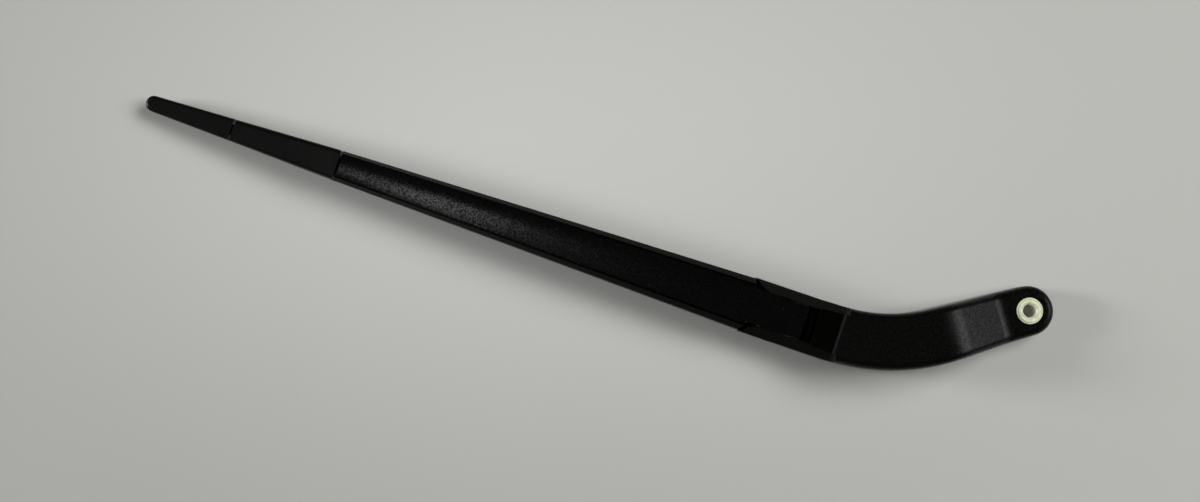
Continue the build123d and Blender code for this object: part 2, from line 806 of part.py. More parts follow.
# Inner yoke: arched bar with a claw at either end
with BuildPart() as inner_yoke:
    yoke_top = rubber_top + yoke_thick
    with BuildSketch(arm_side):
        with BuildLine():
            Polyline(
                (inner_pivot_x - claw_x, rubber_top),
                (inner_pivot_x - claw_x, yoke_top),
                (inner_pivot_x - yoke_boss_r, yoke_z + yoke_thick),
                (inner_pivot_x + yoke_boss_r, yoke_z + yoke_thick),
                (inner_pivot_x + claw_x, yoke_top),
                (inner_pivot_x + claw_x, rubber_top),
                (inner_pivot_x + claw_x - claw_length, rubber_top),
                (inner_pivot_x, yoke_z - yoke_thick),
                (inner_pivot_x - claw_x + claw_length, rubber_top),
                close=True,
            )
        make_face()
        with Locations((inner_pivot_x, yoke_z)):
            Circle(yoke_boss_r)
    extrude(amount=yoke_half, both=True)
    for x in (inner_pivot_x - claw_x, inner_pivot_x + claw_x - claw_length):
        with BuildSketch(across_arm(x)):
            with Locations((0, claw_foot)):
                Rectangle(2 * claw_half, yoke_top - claw_foot, align=(Align.CENTER, Align.MIN))
        extrude(amount=claw_length)
    add(claw_room_cut.part, mode=Mode.SUBTRACT)
    with BuildSketch(arm_side):
        with Locations((inner_pivot_x, yoke_z)):
            Circle(yoke_pin_r + running_gap)
    extrude(amount=yoke_half + cut_over, both=True, mode=Mode.SUBTRACT)
inner_yoke.part.label = "inner_yoke"
export_step(inner_yoke.part, "parts/inner_yoke.step")

# Inside of the tip cover
tip_start_x = nose_end_x + tip_gap
tip_claw_x = tip_x - rubber_inset - claw_length
with BuildPart() as tip_hollow:
    for x, half, top, foot in zip((tip_start_x + tip_wall, tip_claw_x), tip_half, tip_top, tip_foot):
        with BuildSketch(across_arm(x)):
            with Locations((0, top - tip_wall)):
                Rectangle(
                    2 * (half - tip_wall),
                    top - tip_wall - foot + cut_over,
                    align=(Align.CENTER, Align.MAX),
                )
    loft(ruled=True)

# Outer yoke: hidden bar inside the nose, and the cover that makes the blade's tip
with BuildPart() as outer_yoke:
    with BuildSketch():
        with BuildLine():
            Polyline(
                (tip_start_x, arm_y - tip_half[0]),
                (tip_x, arm_y - tip_half[1]),
                (tip_x, arm_y + tip_half[1]),
                (tip_start_x, arm_y + tip_half[0]),
                close=True,
            )
        make_face()
        fillet(vertices().group_by(Axis.X)[-1], tip_corner_r)
    extrude(amount=head_top)
    with BuildSketch(arm_side):
        with BuildLine():
            Polyline(
                (tip_start_x, tip_foot[0]),
                (tip_x, tip_foot[1]),
                (tip_x, tip_top[1]),
                (tip_start_x, tip_top[0]),
                close=True,
            )
        make_face()
    extrude(amount=head_half, both=True, mode=Mode.INTERSECT)
    tip_rim = outer_yoke.faces().sort_by(Axis.Z)[-1].edges()
    fillet(tip_rim.filter_by(lambda e: (e @ 0.5).X > tip_start_x + clear_gap), tip_edge_r)
    add(tip_hollow.part, mode=Mode.SUBTRACT)
    with BuildSketch(arm_side):
        with BuildLine():
            Polyline(
                (outer_pivot_x - claw_x, rubber_top),
                (outer_pivot_x - claw_x, yoke_top),
                (outer_pivot_x - yoke_boss_r, yoke_z + yoke_thick),
                (tip_start_x + tip_wall, yoke_z + yoke_thick),
                (tip_start_x + tip_wall, yoke_z - yoke_thick),
                (outer_pivot_x, yoke_z - yoke_thick),
                (outer_pivot_x - claw_x + claw_length, rubber_top),
                close=True,
            )
        make_face()
        with Locations((outer_pivot_x, yoke_z)):
            Circle(yoke_boss_r)
    extrude(amount=yoke_half, both=True)
    with BuildSketch(across_arm(outer_pivot_x - claw_x)):
        with Locations((0, claw_foot)):
            Rectangle(2 * claw_half, yoke_top - claw_foot, align=(Align.CENTER, Align.MIN))
    extrude(amount=claw_length)
    add(claw_room_cut.part, mode=Mode.SUBTRACT)
    with BuildSketch(arm_side):
        with Locations((outer_pivot_x, yoke_z)):
            Circle(yoke_pin_r + running_gap)
    extrude(amount=yoke_half + cut_over, both=True, mode=Mode.SUBTRACT)
outer_yoke.part.label = "outer_yoke"
export_step(outer_yoke.part, "parts/outer_yoke.step")

# Wiping rubber: lip, thin neck and a head grooved for the two strips
with BuildPart() as wiper_rubber:
    with BuildSketch(across_arm(heel_x + rubber_inset)):
        with BuildLine():
            Polyline(
                (0, 0),
                (lip_edge_half, 0),
                (lip_half, lip_top),
                (neck_half, lip_top),
                (neck_half, bar_foot),
                (bar_half, bar_foot),
                (bar_half, strip_foot),
                (web_half, strip_foot),
                (web_half, strip_foot + strip_thick + strip_room),
                (bar_half, strip_foot + strip_thick + strip_room),
                (bar_half, rubber_top),
                (0, rubber_top),
                close=True,
            )
        make_face()
        mirror(about=Plane.YZ)
    extrude(amount=2 * (blade_half - rubber_inset))
wiper_rubber.part.label = "wiper_rubber"
export_step(wiper_rubber.part, "parts/wiper_rubber.step")

# Spring-steel strips lying in the rubber's grooves
with BuildPart() as strip_near:
    with BuildSketch(across_arm(heel_x + strip_inset)):
        with Locations((strip_inner, strip_foot)):
            Rectangle(strip_outer - strip_inner, strip_thick, align=(Align.MIN, Align.MIN))
    extrude(amount=2 * (blade_half - strip_inset))
strip_near.part.label = "support_strip_near"
export_step(strip_near.part, "parts/support_strip_near.step")

with BuildPart() as strip_far:
    add(strip_near.part)
    mirror(about=arm_side, mode=Mode.REPLACE)
strip_far.part.label = "support_strip_far"
export_step(strip_far.part, "parts/support_strip_far.step")
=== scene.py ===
import bpy
import numpy as np
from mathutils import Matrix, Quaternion, Vector


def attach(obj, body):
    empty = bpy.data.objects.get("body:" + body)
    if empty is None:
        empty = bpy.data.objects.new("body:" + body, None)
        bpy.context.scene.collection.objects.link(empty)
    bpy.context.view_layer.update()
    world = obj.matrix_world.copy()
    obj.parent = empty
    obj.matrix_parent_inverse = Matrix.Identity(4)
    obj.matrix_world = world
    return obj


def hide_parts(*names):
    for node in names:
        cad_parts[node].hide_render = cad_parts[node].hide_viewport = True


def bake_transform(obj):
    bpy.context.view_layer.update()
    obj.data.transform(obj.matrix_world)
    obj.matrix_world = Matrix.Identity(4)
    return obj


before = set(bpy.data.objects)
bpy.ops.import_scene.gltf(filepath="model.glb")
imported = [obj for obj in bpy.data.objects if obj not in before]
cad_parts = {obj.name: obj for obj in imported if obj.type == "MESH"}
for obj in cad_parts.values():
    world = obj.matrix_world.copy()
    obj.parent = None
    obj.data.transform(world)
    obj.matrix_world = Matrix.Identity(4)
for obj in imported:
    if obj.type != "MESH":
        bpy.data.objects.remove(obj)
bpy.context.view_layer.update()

# Cast head: die-cast metal under a black satin coat with a fine sprayed grain.
# Its end pad takes the spindle insert, its fork takes the arm's hinge.
# The coat has rubbed a little paler along the edges, and a few specks of dust lie on it.


def place(tree, kind, settings=None, **inputs):
    """One shader node: settings are its properties, inputs its sockets by name, or by number as n0, n1."""
    node = tree.nodes.new(kind)
    for key, value in (settings or {}).items():
        setattr(node, key, value)
    for key, value in inputs.items():
        plug = node.inputs[int(key[1:])] if key[1:].isdigit() else node.inputs[key.replace("_", " ")]
        if isinstance(value, bpy.types.NodeSocket):
            tree.links.new(value, plug)
        else:
            plug.default_value = value
    return node


def noise(tree, where, scale, detail, **more):
    """The value socket of a noise texture."""
    return place(tree, "ShaderNodeTexNoise", Vector=where, Scale=scale, Detail=detail, **more).outputs["Fac"]


def math_node(tree, operation, first, second=0.0):
    """The result socket of one arithmetic step."""
    return place(tree, "ShaderNodeMath", {"operation": operation}, n0=first, n1=second).outputs[0]


def vector_node(tree, operation, *inputs):
    """One step of vector arithmetic, as a node."""
    plugs = {f"n{number}": value for number, value in enumerate(inputs)}
    return place(tree, "ShaderNodeVectorMath", {"operation": operation}, **plugs)


def ramp_between(tree, value, low, high, to_low=0.0, to_high=1.0):
    """A socket that runs from to_low to to_high as value goes from low to high, and stays there beyond."""
    span = {"From_Min": low, "From_Max": high, "To_Min": to_low, "To_Max": to_high}
    return place(tree, "ShaderNodeMapRange", Value=value, **span).outputs[0]


noise_span = (0.3, 0.7)


def gloss_between(tree, value, low, high):
    """A roughness that runs from low to high over the span in which most of a noise's values lie."""
    return ramp_between(tree, value, *noise_span, low, high)


def blended(tree, share, first, second):
    """A value socket between two values, each a number or a socket."""
    return place(tree, "ShaderNodeMix", n0=share, n2=first, n3=second).outputs[0]


def mixed(tree, share, first, second):
    """A colour socket between two colours, each a triple or a socket."""
    first, second = (c if isinstance(c, bpy.types.NodeSocket) else (*c, 1) for c in (first, second))
    return place(tree, "ShaderNodeMix", {"data_type": "RGBA"}, n0=share, n6=first, n7=second).outputs[2]


def effect(name, inputs, outputs):
    """An empty shader node group with those input and output sockets, each a (name, kind) pair."""
    group = bpy.data.node_groups.new(name, "ShaderNodeTree")
    for socket, kind in inputs:
        group.interface.new_socket(name=socket, in_out="INPUT", socket_type="NodeSocket" + kind)
    for socket, kind in outputs:
        group.interface.new_socket(name=socket, in_out="OUTPUT", socket_type="NodeSocket" + kind)
    return group, group.nodes.new("NodeGroupInput"), group.nodes.new("NodeGroupOutput")


def finish_of(name, **shader):
    """A material with one Principled shader set to those sockets, its node tree and its object coordinates."""
    material = bpy.data.materials.new(name)
    material.use_nodes = True
    tree = material.node_tree
    surface = tree.nodes["Principled BSDF"]
    for key, value in shader.items():
        surface.inputs[key.replace("_", " ")].default_value = value
    where = tree.nodes.new("ShaderNodeTexCoord").outputs["Object"]
    return material, tree, surface, where


def finish_with(tree, surface, colour, gloss, height, strength, depth, **bump):
    """Joins a colour, a roughness and a bump of that strength and depth to the shader."""
    tree.links.new(colour, surface.inputs["Base Color"])
    tree.links.new(gloss, surface.inputs["Roughness"])
    relief = place(tree, "ShaderNodeBump", Strength=strength, Distance=depth, Height=height, **bump)
    tree.links.new(relief.outputs[0], surface.inputs["Normal"])


def dress(material, *nodes):
    """CAD nodes get the material in every slot."""
    for node in nodes:
        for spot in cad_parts[node].material_slots:
            spot.material = material


# Moulded or sprayed grain: rounded pebbles from the distances in a distorted cell pattern, with finer noise on top
wobble_depth, pebble_power, bold_share, fine_share = 0.0006, 1.5, 0.8, 0.2
patch_scale, facet_span = 38.0, (0.36, 0.66)
grain, grain_in, grain_out = effect(
    "pebble_grain",
    (("Where", "Vector"), ("Cells", "Float"), ("Fine", "Float")),
    (("Height", "Float"), ("Spread", "Float"), ("Glint", "Float")),
)
spot, cell_scale, fine_scale = (grain_in.outputs[name] for name in ("Where", "Cells", "Fine"))
wobble = place(grain, "ShaderNodeTexNoise", Vector=spot, Scale=cell_scale, Detail=2.0).outputs["Color"]
pebbles = place(
    grain,
    "ShaderNodeTexVoronoi",
    {"feature": "SMOOTH_F1"},
    Vector=vector_node(grain, "MULTIPLY_ADD", wobble, (wobble_depth,) * 3, spot).outputs[0],
    Scale=cell_scale,
    Smoothness=0.35,
)
sunk = math_node(grain, "POWER", pebbles.outputs["Distance"], pebble_power)
bold = math_node(grain, "MULTIPLY", math_node(grain, "SUBTRACT", 1.0, sunk), bold_share)
finer = math_node(grain, "MULTIPLY", noise(grain, spot, fine_scale, detail=3.0), fine_share)
facets = ramp_between(grain, noise(grain, spot, cell_scale, detail=2.0), *facet_span)
grain.links.new(math_node(grain, "ADD", bold, finer), grain_out.inputs["Height"])
grain.links.new(noise(grain, spot, patch_scale, detail=5.0, Roughness=0.6), grain_out.inputs["Spread"])
grain.links.new(facets, grain_out.inputs["Glint"])

# Rubbed edges: how far a softened normal turns from the true one, broken up by noise
bent_span, broken_span = (0.995, 0.90), (0.40, 0.62)
wear, wear_in, wear_out = effect(
    "rubbed_edges",
    (("Soft Normal", "Vector"), ("True Normal", "Vector"), ("Where", "Vector")),
    (("Mask", "Float"),),
)
turn = vector_node(wear, "DOT_PRODUCT", wear_in.outputs["Soft Normal"], wear_in.outputs["True Normal"])
bent = ramp_between(wear, turn.outputs["Value"], *bent_span)
patches = noise(wear, wear_in.outputs["Where"], scale=160.0, detail=6.0, Roughness=0.7)
broken = ramp_between(wear, patches, *broken_span)
wear.links.new(math_node(wear, "MULTIPLY", bent, broken), wear_out.inputs["Mask"])

# Settled dust: a small dot in a few of the cells of a random pattern
dot_span, bare_cells, dust_cover, dust_tone = (0.075, 0.035), 0.94, 0.35, (0.30, 0.29, 0.27)
dust, dust_in, dust_out = effect("settled_dust", (("Where", "Vector"),), (("Mask", "Float"),))
motes = place(dust, "ShaderNodeTexVoronoi", Vector=dust_in.outputs["Where"], Scale=300.0)
dot = ramp_between(dust, motes.outputs["Distance"], *dot_span)
lot = place(dust, "ShaderNodeSeparateColor", Color=motes.outputs["Color"])
chosen = math_node(dust, "GREATER_THAN", lot.outputs[0], bare_cells)
dust.links.new(math_node(dust, "MULTIPLY", dot, chosen), dust_out.inputs["Mask"])

# Painted shade: the black given to the groove along the panel's edges.
groove_painted_shade = (0.0002, 0.0002, 0.0002)


def coat(
    name,
    tones,
    rough,
    cells,
    fine,
    bump,
    level,
    glint,
    glint_rough,
    edge,
    edge_radius,
    plain=None,
    plain_rough=None,
    plain_tone=None,
    groove=None,
):
    """A black skin: flecks of two tones, rubbed edges, dust, and grain that fades out on the plain zone.
    Glint is the clear coat's weight between and on the grain's facets, and the plain zone has no clear coat.
    The groove is painted black, a painted shade in the cut, and has no clear coat."""
    material, tree, surface, where = finish_of(name, Specular_IOR_Level=level, Coat_Roughness=glint_rough)
    skin = place(tree, "ShaderNodeGroup", {"node_tree": grain}, Where=where, Cells=cells, Fine=fine)
    height, spread = skin.outputs["Height"], skin.outputs["Spread"]
    tone = mixed(tree, math_node(tree, "MULTIPLY", spread, height), *tones)
    gloss = gloss_between(tree, spread, *rough)
    film = ramp_between(tree, skin.outputs["Glint"], 0.0, 1.0, *glint)
    if plain:
        bare = plain(tree, where)
        height = math_node(tree, "MULTIPLY", height, math_node(tree, "SUBTRACT", 1.0, bare))
        gloss = blended(tree, bare, gloss, plain_rough)
        film = blended(tree, bare, film, 0.0)
        if plain_tone:
            tone = mixed(tree, bare, tone, plain_tone)
    soft = place(tree, "ShaderNodeBevel", {"samples": 6}, Radius=edge_radius).outputs[0]
    true = tree.nodes.new("ShaderNodeNewGeometry").outputs["Normal"]
    rub = place(tree, "ShaderNodeGroup", {"node_tree": wear}, n0=soft, n1=true, n2=where)
    specks = place(tree, "ShaderNodeGroup", {"node_tree": dust}, Where=where)
    dusty = math_node(tree, "MULTIPLY", specks.outputs["Mask"], dust_cover)
    tint = mixed(tree, dusty, mixed(tree, rub.outputs["Mask"], tone, edge), dust_tone)
    # The groove is painted black as shade and loses its clear coat.
    if groove:
        groove_shade_share = groove(tree, where)
        tint = mixed(tree, groove_shade_share, tint, groove_painted_shade)
        film = blended(tree, groove_shade_share, film, 0.0)
    tree.links.new(film, surface.inputs["Coat Weight"])
    finish_with(tree, surface, tint, gloss, height, *bump, Normal=soft)
    return material


smooth_start, top_fade, flank_fade = 0.1045, 0.004, 0.032
flank_to_top = (0.018, 0.026)


def fork_zone(tree, where):
    """The smoother end of the head: the bevel and the fork behind it.
    It starts at a line across the top, and comes in slowly along the flanks."""
    axes = place(tree, "ShaderNodeSeparateXYZ", Vector=where)
    ends = (smooth_start + flank_fade, smooth_start + top_fade)
    return ramp_between(
        tree, axes.outputs["X"], smooth_start, ramp_between(tree, axes.outputs["Z"], *flank_to_top, *ends)
    )


head_coat = coat(
    "cast_head_coat",
    tones=((0.0003, 0.0004, 0.0002), (0.0028, 0.0034, 0.0024)),
    rough=(0.28, 0.35),
    cells=820.0,
    fine=3000.0,
    bump=(1.0, 0.00005),
    level=0.06,
    glint=(0.30, 0.76),
    glint_rough=0.36,
    edge=(0.014, 0.014, 0.013),
    edge_radius=0.0005,
    plain=fork_zone,
    plain_rough=0.10,
)
dress(head_coat, "arm_head")

# Spindle insert: a turned bush with a pale yellow zinc plate, pressed into the end pad.
# A raised ring carries the nut, and the cone under the thread hole is serrated for the spindle.
# Fine turning marks run round all its faces.


def surface_piece(name, grid, sharp_deg, ring=False):
    """A mesh from a grid of points, with a face in each square of the grid.
    Its last column joins its first. So do its rows where it is a ring, and otherwise a flat cap closes either end.
    The sign of its volume turns its faces outwards."""
    rows, columns = grid.shape[:2]
    number = np.arange(rows * columns).reshape(rows, columns)
    if ring:
        number = np.vstack((number, number[:1]))
    number = np.hstack((number, number[:, :1]))
    squares = np.stack((number[:-1, :-1], number[1:, :-1], number[1:, 1:], number[:-1, 1:]), -1).reshape(-1, 4)
    points = grid.reshape(-1, 3)
    caps = [] if ring else [number[0, :-1], number[-1, :-1][::-1]]
    a, b, c, d = (points[squares[:, k]] for k in range(4))
    volume = np.sum(np.cross(b, c) * a) + np.sum(np.cross(c, d) * a)
    for cap in caps:
        spokes = points[cap]
        volume += np.sum(np.cross(spokes[1:-1], spokes[2:]) * spokes[0])
    faces = squares.tolist() + [cap.tolist() for cap in caps]
    if volume < 0:
        faces = [face[::-1] for face in faces]
    mesh = bpy.data.meshes.new(name)
    mesh.from_pydata(points.tolist(), [], faces)
    mesh.polygons.foreach_set("use_smooth", np.ones(len(faces), bool))
    mesh.set_sharp_from_angle(angle=np.radians(sharp_deg))
    mesh.update()
    piece = bpy.data.objects.new(name, mesh)
    bpy.context.scene.collection.objects.link(piece)
    return piece


def wear_finish(piece, material):
    """The piece gets the material in its first slot."""
    piece.data.materials.append(material)
    return piece


mm = 0.001
thread_hole_r = 4.2
step_r = 7.0
insert_outline = mm * np.array(
    [
        (5.45, 0.0),
        (7.7, 0.0),
        (8.0, 0.3),
        (8.0, 14.9),
        (7.8, 15.1),
        (step_r + 0.08, 15.1),
        (step_r, 15.18),
        (step_r, 15.45),
        (step_r - 0.15, 15.6),
        (thread_hole_r + 0.65, 15.6),
        (thread_hole_r + 0.5, 15.55),
        (thread_hole_r + 0.05, 15.12),
        (thread_hole_r, 15.0),
        (thread_hole_r, 8.7),
        (4.24, 8.4),
        (5.28, 2.3),
        (5.3, 2.1),
        (5.3, 0.15),
    ]
)
serration_rows = slice(14, 16)
teeth, steps_per_tooth, tooth_depth = 42, 6, 0.00022


def turned(name, outline, steps):
    """A lathe piece: each (radius, height) of the outline is carried round the Z axis in equal steps.
    On the serrated rows the radius grows by a triangle wave, one wave for each tooth."""
    angle = np.linspace(0, 2 * np.pi, steps, endpoint=False)
    radius = np.repeat(outline[:, :1], steps, axis=1)
    wave = np.abs((angle * teeth / (2 * np.pi)) % 1.0 - 0.5) * 2.0
    radius[serration_rows] += tooth_depth * wave
    height = np.repeat(outline[:, 1:], steps, axis=1)
    grid = np.stack((radius * np.cos(angle), radius * np.sin(angle), height), -1)
    return surface_piece(name, grid, sharp_deg=25.0, ring=True)


# Painted shade in the corners of the ring's two edges: the radius, the half width and the darkest share of each
shaded_ring_corners, ring_corner_shade = ((step_r + 0.05, 0.16, 0.75), (thread_hole_r + 0.62, 0.2, 0.6)), (0.10, 0.10, 0.07)
pale_plate, deep_plate, bore_painted_light = (0.86, 0.89, 0.66), (0.62, 0.66, 0.43), (0.97, 0.97, 0.85)
zinc, tree, surface, where = finish_of("zinc_plate", Metallic=0.1, Specular_IOR_Level=0.6)
marks = place(
    tree,
    "ShaderNodeTexWave",
    {"wave_type": "RINGS", "rings_direction": "Z"},
    Vector=where,
    Scale=620.0,
    Distortion=0.6,
    Detail=2.0,
)
blotch = noise(tree, where, scale=420.0, detail=5.0, Roughness=0.65)
flat = vector_node(tree, "MULTIPLY", where, (1.0, 1.0, 0.0)).outputs[0]
radius = vector_node(tree, "LENGTH", flat).outputs["Value"]
# The bore's wall is painted paler: painted light standing in for light that comes down the hole.
bore = ramp_between(tree, radius, mm * (thread_hole_r + 0.3), mm * thread_hole_r)
plate = mixed(tree, ramp_between(tree, blotch, 0.35, 0.65), pale_plate, deep_plate)
plate = mixed(tree, bore, plate, bore_painted_light)
# Painted shade darkens the plate round either ring corner.
for ring_r, ring_half, most in shaded_ring_corners:
    off_ring = math_node(tree, "ABSOLUTE", math_node(tree, "SUBTRACT", radius, mm * ring_r))
    plate = mixed(tree, ramp_between(tree, off_ring, mm * ring_half, 0.0, 0.0, most), plate, ring_corner_shade)
gloss = gloss_between(tree, blotch, 0.34, 0.50)
finish_with(tree, surface, plate, gloss, marks.outputs["Fac"], strength=0.25, depth=0.00005)
insert = wear_finish(turned("insert_turned", insert_outline, teeth * steps_per_tooth), zinc)
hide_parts("spindle_insert")
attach(insert, "head")

# Pins: ground steel, pressed into the fork, the arm and the blade's bridge.
# Grinding leaves fine lines round each pin, and the handling leaves darker smudges.
ground, tree, surface, where = finish_of("ground_steel", Metallic=1.0)
across = place(tree, "ShaderNodeMapping", Vector=where, Scale=(1.0, 40.0, 1.0)).outputs[0]
lines = noise(tree, across, scale=400.0, detail=4.0, Roughness=0.7)
smudge = noise(tree, where, scale=260.0, detail=5.0)
steel = mixed(tree, smudge, (0.30, 0.30, 0.31), (0.56, 0.56, 0.57))
finish_with(tree, surface, steel, gloss_between(tree, smudge, 0.42, 0.26), lines, strength=0.2, depth=0.00003)
dress(ground, "hinge_pin_near", "hinge_pin_far", "spring_hook_pin", "spring_anchor_pin")
dress(ground, "blade_pivot_pin", "outer_yoke_pin", "inner_yoke_pin")

# Bushes and blade adapter: moulded in a plain grey bearing plastic, with faint flow marks.
# The flanged bushes sit in the tongue's walls, the adapter sits in the bridge and turns on its pin.
bearing, tree, surface, where = finish_of("bearing_plastic", Specular_IOR_Level=0.45)
flow = noise(tree, where, scale=180.0, detail=4.0, Distortion=0.8)
pores = noise(tree, where, scale=3800.0, detail=2.0)
grey = mixed(tree, flow, (0.085, 0.085, 0.080), (0.125, 0.124, 0.118))
finish_with(tree, surface, grey, gloss_between(tree, flow, 0.38, 0.52), pores, strength=0.15, depth=0.00003)
dress(bearing, "hinge_bush_near", "hinge_bush_far", "blade_adapter")

# Spring link: stamped from flat steel and zinc plated.
# One end hooks round its pin in the fork, the other has an eye for the spring.
plated, tree, surface, where = finish_of("plated_link", Metallic=1.0)
spangle = place(tree, "ShaderNodeTexVoronoi", Vector=where, Scale=520.0).outputs["Distance"]
dull = noise(tree, where, scale=300.0, detail=6.0, Roughness=0.7)
plate = mixed(tree, dull, (0.34, 0.34, 0.35), (0.58, 0.58, 0.57))
finish_with(tree, surface, plate, gloss_between(tree, dull, 0.30, 0.48), spangle, strength=0.12, depth=0.00004)
dress(plated, "spring_link")

# Tension spring: oiled dark wire, wound open under load, with a bent loop at either end.
# Its front loop goes through the link's eye, its rear loop round the arm's anchor pin.
arm_y = 0.0515
hook, anchor = np.array((0.138, arm_y, 0.008)), np.array((0.241, arm_y, 0.020))
spring_run = np.linalg.norm(anchor - hook)
pull = (anchor - hook) / spring_run
sideways = np.array((0.0, 1.0, 0.0))
upright = np.cross(pull, sideways)
wire_r, coil_r, coil_pitch, coils = 0.9 * mm, 3.6 * mm, 3.2 * mm, 16
rear_r = 2.95 * mm
body_end = spring_run - rear_r - wire_r
body_start = body_end - coils * coil_pitch
front_tip = 38.4 * mm
front_end = front_tip + coil_r
ring_points, front_leg_points, rear_leg_points = 24, 10, 8


def wire_run(along, aside, up):
    """Points of the wire, each a distance along the pull and two distances across it."""
    return np.stack(np.broadcast_arrays(along, aside, up), -1)


def wire_path(steps):
    """The wire's middle line: a half ring through the link's eye, a helix that narrows in its last coil,
    and a half ring round the anchor pin. Straight legs join them, and a short leg ends either half ring."""
    half = np.linspace(-np.pi / 2, np.pi / 2, ring_points)
    angle = np.linspace(0, 2 * np.pi * (coils - 0.25), steps)
    share = angle / angle[-1]
    narrowing = np.clip(share * coils - (coils - 1), 0, 1) ** 2
    radius = coil_r + (rear_r - coil_r) * narrowing
    runs = (
        wire_run(np.linspace(body_start + wire_r, front_end, front_leg_points)[:-1], -coil_r, 0.0),
        wire_run(front_tip + coil_r * (1 - np.cos(half)), coil_r * np.sin(half), 0.0),
        wire_run(np.linspace(front_end, body_start, front_leg_points)[1:-1], coil_r, 0.0),
        wire_run(body_start + share * (body_end - body_start), radius * np.cos(angle), radius * np.sin(angle)),
        wire_run(np.linspace(body_end, spring_run, rear_leg_points)[1:-1], 0.0, -rear_r),
        wire_run(spring_run + rear_r * np.cos(half), 0.0, rear_r * np.sin(half)),
        wire_run(np.linspace(spring_run, body_end - wire_r, rear_leg_points)[1:], 0.0, rear_r),
    )
    return hook + np.vstack(runs) @ np.array((pull, sideways, upright))


def tube(name, path, radius, sides):
    """A round wire: a circle of the radius set square to the path at each of its points.
    One slanting direction, never along the wire, gives every circle its start."""
    ahead = np.gradient(path, axis=0)
    ahead /= np.linalg.norm(ahead, axis=1, keepdims=True)
    slant = 0.7 * pull + 0.5 * sideways + 0.5 * upright
    first = np.cross(ahead, slant)
    first /= np.linalg.norm(first, axis=1, keepdims=True)
    second = np.cross(ahead, first)
    angle = np.linspace(0, 2 * np.pi, sides, endpoint=False)[None, :, None]
    grid = path[:, None] + radius * (np.cos(angle) * first[:, None] + np.sin(angle) * second[:, None])
    return surface_piece(name, grid, sharp_deg=60.0)


steps_per_coil, wire_sides = 36, 12
oiled, tree, surface, where = finish_of("oiled_wire", Metallic=1.0)
oil = noise(tree, where, scale=240.0, detail=5.0)
die_marks = noise(tree, where, scale=2600.0, detail=3.0)
dark = mixed(tree, oil, (0.10, 0.095, 0.09), (0.24, 0.235, 0.23))
finish_with(tree, surface, dark, gloss_between(tree, oil, 0.24, 0.42), die_marks, strength=0.12, depth=0.00002)
spring = wear_finish(tube("spring_wire", wire_path(coils * steps_per_coil), wire_r, wire_sides), oiled)
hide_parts("tension_spring")
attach(spring, "link")

# Arm: one long moulding in matte black plastic, a channel open underneath.
# Its top panel has a pebbled grain, its two shoulders and its sides are smoother.
panel_x = (0.1285, 0.426)
panel_half = (0.0125, 0.00635)
shoulder_fade = 0.0004
groove_inner, groove_outer = (-0.0003, 0.0), (0.0014, 0.0010)


def off_panel(tree, where):
    """How far a place on the arm lies outside the edge of the tapering panel."""
    axes = place(tree, "ShaderNodeSeparateXYZ", Vector=where)
    aside = math_node(tree, "ABSOLUTE", math_node(tree, "SUBTRACT", axes.outputs["Y"], arm_y))
    half = ramp_between(tree, axes.outputs["X"], *panel_x, *panel_half)
    return math_node(tree, "SUBTRACT", aside, half)


def shoulder_zone(tree, where):
    """The smooth part of the arm: all that lies outside the panel."""
    return ramp_between(tree, off_panel(tree, where), 0.0, shoulder_fade)


def groove_zone(tree, where):
    """The groove along either edge of the panel, a band as wide as the cut, with soft sides, where black shade is
    painted.
    """
    off = off_panel(tree, where)
    inner = ramp_between(tree, off, *groove_inner)
    outer = ramp_between(tree, off, *groove_outer)
    return math_node(tree, "MULTIPLY", inner, outer)


arm_skin = coat(
    "arm_skin",
    tones=((0.0002, 0.0002, 0.0002), (0.0024, 0.0025, 0.0020)),
    rough=(0.42, 0.50),
    cells=820.0,
    fine=3000.0,
    bump=(1.0, 0.00007),
    level=0.07,
    glint=(0.15, 1.0),
    glint_rough=0.22,
    edge=(0.012, 0.012, 0.011),
    edge_radius=0.0004,
    plain=shoulder_zone,
    plain_rough=0.30,
    plain_tone=(0.0022, 0.0023, 0.0018),
    groove=groove_zone,
)
dress(arm_skin, "arm_channel")

# Blade carrier: bridge and yokes moulded in a smoother dark grey plastic.
# The bridge's nose and the outer yoke's cover carry the arm's line on to the tip.
blade_skin = coat(
    "blade_skin",
    tones=((0.0020, 0.0019, 0.0017), (0.0036, 0.0034, 0.0031)),
    rough=(0.30, 0.36),
    cells=2600.0,
    fine=6000.0,
    bump=(0.15, 0.00004),
    level=0.06,
    glint=(0.20, 0.40),
    glint_rough=0.34,
    edge=(0.010, 0.010, 0.009),
    edge_radius=0.0004,
)
dress(blade_skin, "blade_bridge", "outer_yoke", "inner_yoke")

# Wiping rubber: one extruded strip with a lip, a thin neck and a head grooved for the steel strips.
# It is made in two halves that meet under the blade's pivot.
blade_middle, rubber_ends = 0.401, (0.253, 0.549)
strip_step = 0.003
corner_most = 0.45
rubber_half_outline = mm * np.array(
    [
        (0.35, 0.0),
        (1.6, 4.4),
        (0.5, 4.4),
        (0.5, 5.8),
        (2.5, 5.8),
        (2.5, 7.0),
        (0.8, 7.0),
        (0.8, 8.0),
        (2.5, 8.0),
        (2.5, 9.4),
    ]
)


def rounded_outline(points, radius):
    """The closed outline with each corner cut back: every point becomes two, moved towards its neighbours
    by the radius, or by less than half of a short side."""
    sides = np.stack((np.roll(points, 1, axis=0), np.roll(points, -1, axis=0)), 1) - points[:, None]
    share = np.minimum(radius / np.linalg.norm(sides, axis=2, keepdims=True), corner_most)
    return (points[:, None] + share * sides).reshape(-1, 2)


def extruded(name, outline, begin, end):
    """A drawn strip along the arm: the outline across the arm is set at equal steps from begin to end."""
    along = np.linspace(begin, end, int(abs(end - begin) / strip_step) + 2)[:, None]
    grid = np.stack(np.broadcast_arrays(along, arm_y + outline[:, 0], outline[:, 1]), -1)
    return surface_piece(name, grid, sharp_deg=30.0)


